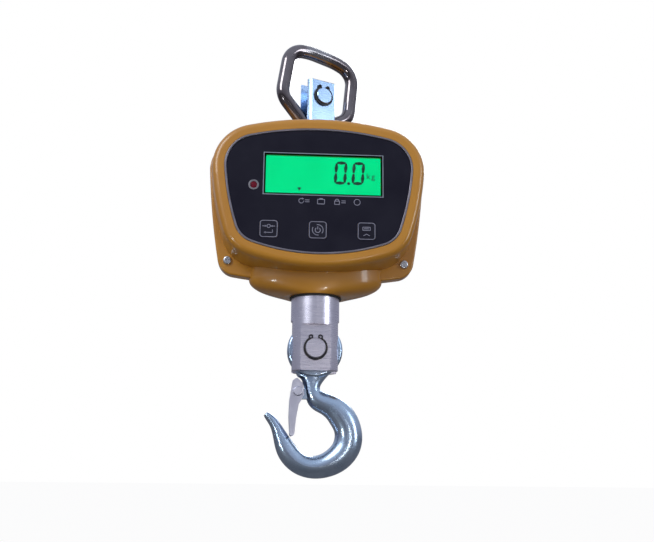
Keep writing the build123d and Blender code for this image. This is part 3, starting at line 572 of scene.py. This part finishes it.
@dataclass
class FlatPrint:
    """Thin printed shapes on one panel face. Drawn flat in millimetres, x to the right and y up."""

    centre: tuple
    front: float
    thickness: float = 0.06
    corner_steps: int = 5
    arc_step: float = 12.0
    least_arc_steps: int = 6
    segment_gap: float = 0.3
    letter_steps: int = 4
    letter_spacing: float = 1.25
    shape: bmesh.types.BMesh = field(default_factory=bmesh.new)

    def placed(self, x: float, y: float, angle: float = 0.0) -> Matrix:
        """Place of one mark.

        Args:
            x: Millimetres to the right of the centre.
            y: Millimetres above the centre.
            angle: Turn in degrees.

        Returns:
            The matrix, in metres.
        """
        turned = Matrix.Rotation(math.radians(angle), 4, "Z")
        return Matrix.Translation((x * MM, y * MM, 0.0)) @ turned

    def bar(self, x: float, y: float, length: float, width: float, angle: float = 0.0) -> None:
        """Adds a plain bar.

        Args:
            x: Its middle, to the right.
            y: Its middle, up.
            length: Its length.
            width: Its width.
            angle: Its turn in degrees.
        """
        size = Matrix.Diagonal((length * MM, width * MM, 1.0, 1.0))
        bmesh.ops.create_grid(
            self.shape, x_segments=1, y_segments=1, size=0.5, matrix=self.placed(x, y, angle) @ size
        )

    def segment(
        self, x: float, y: float, length: float, width: float, angle: float, lean: float
    ) -> None:
        """Adds a display segment with pointed ends.

        Args:
            x: Its middle, to the right.
            y: Its middle, up.
            length: Its length between the points.
            width: Its width.
            angle: Its turn in degrees.
            lean: How far the shape leans to the right for each unit of height.
        """
        corner = width * MM / math.sqrt(3)
        made = bmesh.ops.create_circle(self.shape, cap_ends=True, segments=6, radius=corner)
        reach = length * MM / 2 - corner
        for side in (-1, 1):
            half = [v for v in made["verts"] if v.co.x * side > corner / 10]
            bmesh.ops.translate(self.shape, verts=half, vec=(side * reach, 0.0, 0.0))
        bmesh.ops.transform(self.shape, matrix=self.placed(x, y, angle), verts=made["verts"])
        slant = Matrix.Identity(4)
        slant[0][1] = lean
        bmesh.ops.transform(self.shape, matrix=slant, verts=made["verts"])

    def outline(
        self, x: float, y: float, width: float, height: float, corner: float, line: float
    ) -> None:
        """Adds a rounded outline.

        Args:
            x: Its middle, to the right.
            y: Its middle, up.
            width: Width outside.
            height: Height outside.
            corner: Radius of its corners, or 0 for sharp ones.
            line: Width of the line.
        """
        size = Matrix.Diagonal((width * MM, height * MM, 1.0, 1.0))
        made = bmesh.ops.create_grid(
            self.shape, x_segments=1, y_segments=1, size=0.5, matrix=self.placed(x, y) @ size
        )
        corners = made["verts"]
        if corner > 0:
            corners = bmesh.ops.bevel(
                self.shape, geom=corners, offset=corner * MM, offset_type="OFFSET",
                segments=self.corner_steps, profile=0.5, affect="VERTICES", material=-1,
            )["verts"]
        middle = list({face for vert in corners for face in vert.link_faces})
        bmesh.ops.inset_region(
            self.shape, faces=middle, thickness=line * MM, use_boundary=True, use_even_offset=True
        )
        bmesh.ops.delete(self.shape, geom=middle, context="FACES")

    def arc(
        self, x: float, y: float, radius: float, line: float, start: float = 0.0, turn: float = 360.0
    ) -> None:
        """Adds a ring, or part of one.

        Args:
            x: Its middle, to the right.
            y: Its middle, up.
            radius: Radius at the middle of the line.
            line: Width of the line.
            start: Where it starts, in degrees from the right.
            turn: How far it goes round.
        """
        first = self.placed(x, y, start)
        inner = self.shape.verts.new(first @ Vector(((radius - line / 2) * MM, 0.0, 0.0)))
        outer = self.shape.verts.new(first @ Vector(((radius + line / 2) * MM, 0.0, 0.0)))
        edge = self.shape.edges.new((inner, outer))
        steps = max(self.least_arc_steps, int(turn / self.arc_step))
        bmesh.ops.spin(
            self.shape, geom=[inner, outer, edge], cent=(x * MM, y * MM, 0.0), axis=(0, 0, 1),
            angle=math.radians(turn), steps=steps, use_merge=turn >= 360,
        )

    def arrow(self, x: float, y: float, size: float, angle: float) -> None:
        """Adds a solid triangle.

        Args:
            x: Its middle, to the right.
            y: Its middle, up.
            size: Radius of the circle through its corners.
            angle: Where its point faces, in degrees from the right.
        """
        bmesh.ops.create_circle(
            self.shape, cap_ends=True, segments=3, radius=size * MM, matrix=self.placed(x, y, angle - 90)
        )

    def zero(self, x: float, y: float, width: float, height: float, line: float, lean: float) -> None:
        """Adds a seven-segment zero.

        Args:
            x: Its middle, to the right.
            y: Its middle, up.
            width: Width outside.
            height: Height outside.
            line: Width of a segment.
            lean: How far it leans to the right for each unit of height.
        """
        half_w = (width - line) / 2
        half_h = (height - line) / 2
        level_length, upright_length = 2 * half_w - self.segment_gap, half_h - self.segment_gap
        foot = x - lean * y
        for side in (-1, 1):
            self.segment(foot, y + side * half_h, level_length, line, 0, lean)
            for level in (-1, 1):
                across, up = foot + side * half_w, y + level * half_h / 2
                self.segment(across, up, upright_length, line, 90, lean)

    def words(self, text: str, x: float, y: float, height: float) -> None:
        """Adds generic letters, such as a unit.

        Args:
            text: The letters.
            x: Their left edge.
            y: Their base line.
            height: Height of the type.
        """
        curve = bpy.data.curves.new("unit_text", "FONT")
        curve.body = text
        curve.size = height * MM
        curve.resolution_u = self.letter_steps
        curve.space_character = self.letter_spacing
        holder = bpy.data.objects.new("unit_text", curve)
        bpy.context.scene.collection.objects.link(holder)
        bpy.context.view_layer.update()
        solved = holder.evaluated_get(bpy.context.evaluated_depsgraph_get())
        flat = bpy.data.meshes.new_from_object(solved)
        before = set(self.shape.verts)
        self.shape.from_mesh(flat)
        added = [v for v in self.shape.verts if v not in before]
        bmesh.ops.transform(self.shape, matrix=self.placed(x, y), verts=added)
        bpy.data.objects.remove(holder)
        bpy.data.curves.remove(curve)
        bpy.data.meshes.remove(flat)

    def finish(self, name: str, finish: Finish, body: str, slot: str) -> bpy.types.Object:
        """Gives the print its thickness, stands it on the panel and makes it a piece.

        Args:
            name: The piece's name.
            finish: Its finish.
            body: The body that it rides on.
            slot: The name of a material slot, passed on to the piece; not used.

        Returns:
            The new object.
        """
        flat = list(self.shape.faces)
        bmesh.ops.recalc_face_normals(self.shape, faces=flat)
        raised = bmesh.ops.extrude_face_region(self.shape, geom=flat, use_keep_orig=True)
        tops = [v for v in raised["geom"] if isinstance(v, bmesh.types.BMVert)]
        bmesh.ops.translate(self.shape, verts=tops, vec=(0.0, 0.0, self.thickness * MM))
        place = Matrix.Translation((self.centre[0], self.front, self.centre[1]))
        upright = Matrix.Rotation(math.radians(90), 4, "X")
        bmesh.ops.transform(self.shape, matrix=place @ upright, verts=self.shape.verts)
        return SHOP.piece(name, self.shape, finish, body, slot)


def middle_of(node: str) -> Vector:
    """Middle of a node's box, in metres."""
    low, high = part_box(node)
    return (low + high) / 2


@dataclass
class Display:
    """The lit display: border, two figures, unit and a mark, on the display module behind the window."""

    figure_insets: tuple = (22.3, 38.6)
    figure_width: float = 11.6
    figure_height: float = 22.5
    stroke: float = 2.9
    lean: float = 0.07
    rise: float = 2.7
    point_inset: float = 31.2
    point_radius: float = 0.7
    point_lift: float = 1.2
    unit_inset: float = 14.9
    unit_base: float = -2.4
    unit_height: float = 7.8
    mark_aside: float = -22.0
    mark_lift: float = 6.2
    mark_size: float = 2.2
    behind: float = 0.05
    border_line: float = 0.8

    def build(self) -> None:
        """Builds the display's printed and lit marks."""
        low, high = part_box("display_window")
        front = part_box("display_module")[0].y - self.behind * MM
        centre = ((low.x + high.x) / 2, (low.z + high.z) / 2)
        half = (high.x - low.x) / 2 / MM
        tall = (high.z - low.z) / 2 / MM
        ink = FlatPrint(centre, front)
        for inset in self.figure_insets:
            ink.zero(
                half - inset, self.rise, self.figure_width, self.figure_height, self.stroke, self.lean
            )
        foot = self.rise - self.figure_height / 2
        ink.arc(half - self.point_inset, foot + self.point_lift, self.point_radius, 2 * self.point_radius)
        ink.words("kg", half - self.unit_inset, self.unit_base, self.unit_height)
        ink.arrow(self.mark_aside, self.mark_lift - tall, self.mark_size, -90)
        ink.finish("display_figures", DISPLAY_INK, "scale_body", "part_black")
        border = FlatPrint(centre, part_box("panel_overlay")[0].y)
        grow = 2 * self.border_line
        border.outline(0.0, 0.0, 2 * half + grow, 2 * tall + grow, 0.0, self.border_line)
        border.finish("display_border", DISPLAY_BORDER, "scale_body", "collar_grey")


@dataclass
class PanelMarks:
    """Small generic pictograms printed between the display and the keys."""

    row_drop: float = -10.4
    line: float = 0.6
    bold: float = 0.65
    turn_x: float = -16.0
    case_x: float = 2.0
    lock_x: float = 16.6
    ring_x: float = 35.0
    equals_reach: float = 4.0
    equals_rise: float = 0.9

    def equals(self, marks: FlatPrint, x: float) -> None:
        """Adds a pair of level bars.

        Args:
            marks: The print that they are added to.
            x: Their middle, to the right.
        """
        for rise in (self.equals_rise, -self.equals_rise):
            marks.bar(x, self.row_drop + rise, self.equals_reach, self.line)

    def build(self) -> None:
        """Prints the row of marks on the panel's film."""
        marks = FlatPrint((0.0, middle_of("panel_overlay").z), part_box("panel_overlay")[0].y)
        y = self.row_drop
        marks.arc(self.turn_x, y, 2.2, self.line, 60, 300)
        marks.arrow(self.turn_x + 1.3, y + 2.0, 1.1, -20)
        self.equals(marks, self.turn_x + 5.4)
        marks.outline(self.case_x, y - 0.4, 7.0, 5.0, 0.7, self.bold)
        marks.bar(self.case_x, y + 2.5, 3.0, 0.9)
        marks.outline(self.lock_x, y - 1.0, 5.0, 3.8, 0.5, self.line)
        marks.arc(self.lock_x, y + 0.9, 1.6, self.line, 0, 180)
        self.equals(marks, self.lock_x + 6.0)
        marks.arc(self.ring_x, y, 2.8, self.line)
        marks.finish("panel_pictograms", PALE_INK, "scale_body", "collar_grey")


class KeySign(Enum):
    """What a key does."""

    ZERO = "zero"
    POWER = "power"
    HOLD = "hold"


@dataclass
class KeyPrint:
    """Outline and sign printed on one key."""

    sign: KeySign
    outline_size: float = 15.9
    corner: float = 2.7
    line: float = 0.6
    bold: float = 0.65
    upper_row: float = 2.4
    lower_row: float = -3.6

    def draw_sign(self, mark: FlatPrint) -> None:
        """Draws the key's sign.

        Args:
            mark: The print that it is added to.
        """
        if self.sign is KeySign.ZERO:
            mark.arc(0.0, self.upper_row, 1.5, self.line)
            for side in (-1, 1):
                mark.bar(side * 4.4, self.upper_row, 2.6, self.line)
                mark.arrow(side * 2.9, self.upper_row, 1.1, 90 + side * 90)
            mark.bar(0.0, self.lower_row, 7.0, self.line)
            mark.arrow(-3.2, self.lower_row, 1.2, 180)
            mark.bar(3.5, self.lower_row + 1.3, 3.0, self.line, 90)
        elif self.sign is KeySign.POWER:
            for start, turn in ((150, 130), (320, 140)):
                mark.arc(0.0, 0.0, 4.9, self.bold, start, turn)
            mark.arc(0.0, -0.2, 2.3, self.bold, 125, 290)
            mark.bar(0.0, 1.8, 2.8, self.bold, 90)
        elif self.sign is KeySign.HOLD:
            mark.outline(0.0, self.upper_row - 0.2, 7.4, 3.6, 0.5, self.bold)
            mark.bar(0.0, self.upper_row - 0.2, 4.4, 0.7)
            for side in (-1, 1):
                mark.bar(side * 1.4, self.lower_row, 3.4, self.line, -side * 28)

    def build(self) -> None:
        """Prints the key's face."""
        node = f"{self.sign.value}_key"
        middle = middle_of(node)
        mark = FlatPrint((middle.x, middle.z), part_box(node)[0].y)
        mark.outline(0.0, 0.0, self.outline_size, self.outline_size, self.corner, self.line)
        self.draw_sign(mark)
        mark.finish(f"{self.sign.value}_key_print", PALE_INK, f"{self.sign.value}_button", "key_film")


@dataclass
class LatchSpring:
    """The latch's torsion spring: a coil on each side of the hook's lug, and a leg from each to the latch."""

    wire: float = 0.55
    wire_sides: int = 8
    turns: float = 3.0
    steps_per_turn: int = 20
    lug_side: float = 4.9
    leg_end: float = 0.3

    def wire_end(self, shape: bmesh.types.BMesh, place: Vector) -> tuple:
        """Draws the wire's round end, which is then wound into a coil or drawn out as a leg.

        Args:
            shape: The shape that it is added to.
            place: Its middle, in metres.

        Returns:
            Its vertices and its faces.
        """
        made = bmesh.ops.create_circle(
            shape, cap_ends=True, segments=self.wire_sides, radius=self.wire * MM,
            matrix=Matrix.Translation(place),
        )
        faces = [f for f in shape.faces if all(v in made["verts"] for v in f.verts)]
        return made["verts"], faces

    def wind(self, coils: bmesh.types.BMesh, start: Vector, pin: Vector, advance: float) -> None:
        """Winds one coil about the rivet.

        Args:
            coils: The shape that it is added to.
            start: Where the wire starts.
            pin: The rivet's middle.
            advance: How far the whole coil runs along the rivet.
        """
        verts, faces = self.wire_end(coils, start)
        steps = int(self.turns * self.steps_per_turn)
        bmesh.ops.spin(
            coils, geom=faces + [e for f in faces for e in f.edges] + verts, cent=tuple(pin), axis=(0, 1, 0),
            dvec=(0.0, advance / steps, 0.0), angle=math.tau * self.turns, steps=steps,
        )

    def draw_leg(self, legs: bmesh.types.BMesh, start: Vector, drop: float) -> None:
        """Draws one straight leg.

        Args:
            legs: The shape that it is added to.
            start: Where it leaves the coil.
            drop: How far it goes up, or down where it is negative.
        """
        faces = self.wire_end(legs, start)[1]
        drawn = bmesh.ops.extrude_face_region(legs, geom=faces, use_keep_orig=True)
        ends = [v for v in drawn["geom"] if isinstance(v, bmesh.types.BMVert)]
        bmesh.ops.translate(legs, verts=ends, vec=(0.0, 0.0, drop))

    def build(self) -> None:
        """Makes the coils, in place of the plain sleeves, and the legs that follow the latch."""
        low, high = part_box("latch_spring")
        pin = middle_of("latch_rivet")
        radius = (high.x - pin.x) - self.wire * MM
        coils, legs = bmesh.new(), bmesh.new()
        for side in (-1, 1):
            outer = side * (high.y - self.wire * MM)
            start = Vector((pin.x - radius, outer, pin.z))
            self.wind(coils, start, pin, side * self.lug_side * MM - outer)
            self.draw_leg(legs, start, low.z + self.leg_end * MM - pin.z)
        wound = SHOP.piece("latch_spring_coils", coils, BLACK_SPRING, "hook_body", "clip_steel")
        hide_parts("latch_spring")
        drawn = SHOP.piece("latch_spring_legs", legs, BLACK_SPRING, "latch", "clip_steel")
        for piece in (wound, drawn):
            for face in piece.data.polygons:
                face.use_smooth = True


@dataclass(frozen=True)
class SoftBox:
    """One soft light: where it stands, what it points at, its width and height, watts and tint."""

    name: str
    place: tuple
    aim: tuple
    size: tuple
    power: float
    tint: tuple

    def hang(self) -> None:
        """Adds the light to the scene."""
        data = bpy.data.lights.new(self.name, "AREA")
        data.shape = "RECTANGLE"
        data.size, data.size_y = self.size
        data.energy = self.power
        data.color = self.tint
        made = bpy.data.objects.new(self.name, data)
        bpy.context.scene.collection.objects.link(made)
        turn = (Vector(self.aim) - Vector(self.place)).to_track_quat("-Z", "Y").to_matrix().to_4x4()
        made.matrix_world = Matrix.Translation(self.place) @ turn


SOFT_BOXES = (
    SoftBox("window_box", (-1.1, -1.2, 1.2), (0.0, 0.0, 0.2), (0.8, 1.0), 17.0, (0.92, 0.96, 1.0)),
    SoftBox("side_box", (1.3, -0.9, 0.45), (0.0, 0.0, 0.15), (0.3, 1.0), 6.0, (0.86, 0.93, 1.0)),
    SoftBox("low_strip", (-0.7, -0.75, -0.02), (0.0, 0.0, 0.05), (0.12, 0.05), 1.0, (0.85, 0.95, 1.0)),
    SoftBox("low_right", (0.22, -1.0, 0.0), (0.0, 0.0, 0.16), (0.1, 0.02), 0.8, (1.0, 0.98, 0.94)),
    SoftBox("rear_box", (0.5, 1.3, 1.1), (0.0, 0.0, 0.2), (0.9, 0.7), 12.0, (0.95, 0.98, 1.0)),
)


@dataclass
class Studio:
    """Camera, floor, soft lights and sky."""

    eye: tuple = (-0.0368, -0.7851, -0.0217)
    heading: float = 3.466
    pitch: float = 13.796
    roll: float = 0.562
    lens: float = 47.06
    sensor: float = 36.0
    nearest: float = 0.01
    floor_z: float = -0.05
    floor_half: float = 6.0
    floor_light: tuple = (0.97, 0.97, 0.975, 1.0)
    backdrop: tuple = (1.0, 1.0, 1.0, 1.0)
    # Height, from 0 straight down to 1 straight up, and the room's colour there.
    room_shades: tuple = (
        (0.0, 0.05, 0.045, 0.06),
        (0.46, 0.05, 0.04, 0.05),
        (0.54, 0.27, 0.28, 0.34),
        (0.8, 0.58, 0.65, 0.78),
    )

    def camera(self) -> None:
        """Sets the camera."""
        turn, rise, tip = (math.radians(a) for a in (self.heading, self.pitch, self.roll))
        ahead = Vector(
            (math.sin(turn) * math.cos(rise), math.cos(turn) * math.cos(rise), math.sin(rise))
        )
        right = Vector((math.cos(turn), -math.sin(turn), 0.0))
        up = right.cross(ahead)
        level = right * math.cos(tip) + up * math.sin(tip)
        upright = up * math.cos(tip) - right * math.sin(tip)
        data = bpy.data.cameras.new("camera")
        data.sensor_fit = "HORIZONTAL"
        data.sensor_width = self.sensor
        data.lens = self.lens
        data.clip_start = self.nearest
        made = bpy.data.objects.new("camera", data)
        bpy.context.scene.collection.objects.link(made)
        axes = Matrix((level, upright, -ahead)).transposed().to_4x4()
        made.matrix_world = Matrix.Translation(self.eye) @ axes
        bpy.context.scene.camera = made

    def floor_paper(self) -> bpy.types.Material:
        """Pale lit paper that stays quiet in the metal's reflections.

        Returns:
            The floor's material.
        """
        made = SHOP.material(STUDIO_FLOOR)
        tree = made.node_tree
        target = next(n for n in tree.nodes if n.type == "OUTPUT_MATERIAL")
        paper = next(n for n in tree.nodes if n.type == "BSDF_PRINCIPLED")
        path = tree.nodes.new("ShaderNodeLightPath")
        lit = tree.nodes.new("ShaderNodeEmission")
        lit.inputs["Color"].default_value = self.floor_light
        pick = tree.nodes.new("ShaderNodeMixShader")
        tree.links.new(path.outputs["Is Camera Ray"], pick.inputs["Fac"])
        tree.links.new(paper.outputs["BSDF"], pick.inputs[1])
        tree.links.new(lit.outputs["Emission"], pick.inputs[2])
        tree.links.new(pick.outputs["Shader"], target.inputs["Surface"])
        return made

    def floor(self) -> None:
        """Lays the pale floor."""
        shape = bmesh.new()
        level = Matrix.Translation((0.0, 0.0, self.floor_z))
        bmesh.ops.create_grid(shape, x_segments=1, y_segments=1, size=self.floor_half, matrix=level)
        mesh = bpy.data.meshes.new("floor")
        shape.to_mesh(mesh)
        shape.free()
        mesh.materials.append(self.floor_paper())
        made = bpy.data.objects.new("floor", mesh)
        bpy.context.scene.collection.objects.link(made)

    def sky(self) -> None:
        """White behind the object, and a quieter room for the metal to reflect."""
        world = bpy.data.worlds.new("studio_sky")
        bpy.context.scene.world = world
        world.use_nodes = True
        tree = world.node_tree
        tree.nodes.clear()
        link = tree.links.new
        place = tree.nodes.new("ShaderNodeTexCoord")
        parts = tree.nodes.new("ShaderNodeSeparateXYZ")
        ramp = tree.nodes.new("ShaderNodeValToRGB")
        room = tree.nodes.new("ShaderNodeBackground")
        white = tree.nodes.new("ShaderNodeBackground")
        pick = tree.nodes.new("ShaderNodeMixShader")
        path = tree.nodes.new("ShaderNodeLightPath")
        target = tree.nodes.new("ShaderNodeOutputWorld")
        height = tree.nodes.new("ShaderNodeMapRange")
        height.inputs["From Min"].default_value = -1.0
        first, *between, last = self.room_shades
        stops = ramp.color_ramp.elements
        for stop, (position, *shade) in zip(stops, (first, last)):
            stop.position = position
            stop.color = (*shade, 1.0)
        for position, *shade in between:
            stops.new(position).color = (*shade, 1.0)
        white.inputs["Color"].default_value = self.backdrop
        link(place.outputs["Generated"], parts.inputs["Vector"])
        link(parts.outputs["Z"], height.inputs["Value"])
        link(height.outputs["Result"], ramp.inputs["Fac"])
        link(ramp.outputs["Color"], room.inputs["Color"])
        link(path.outputs["Is Camera Ray"], pick.inputs["Fac"])
        link(room.outputs["Background"], pick.inputs[1])
        link(white.outputs["Background"], pick.inputs[2])
        link(pick.outputs["Shader"], target.inputs["Surface"])

    def build(self) -> None:
        """Sets up the whole studio."""
        self.camera()
        self.floor()
        self.sky()
        for box in SOFT_BOXES:
            box.hang()
        bpy.context.scene.view_settings.view_transform = "Standard"


def main() -> None:
    """Builds the scene in order."""
    logging.basicConfig(level=logging.INFO, format="%(message)s")
    Studio().build()
    SHOP.dress_frame(frame["nodes"], frame["record"]["subparts"])
    Display().build()
    PanelMarks().build()
    for sign in KeySign:
        KeyPrint(sign).build()
    LatchSpring().build()


if __name__ == "__main__":
    main()
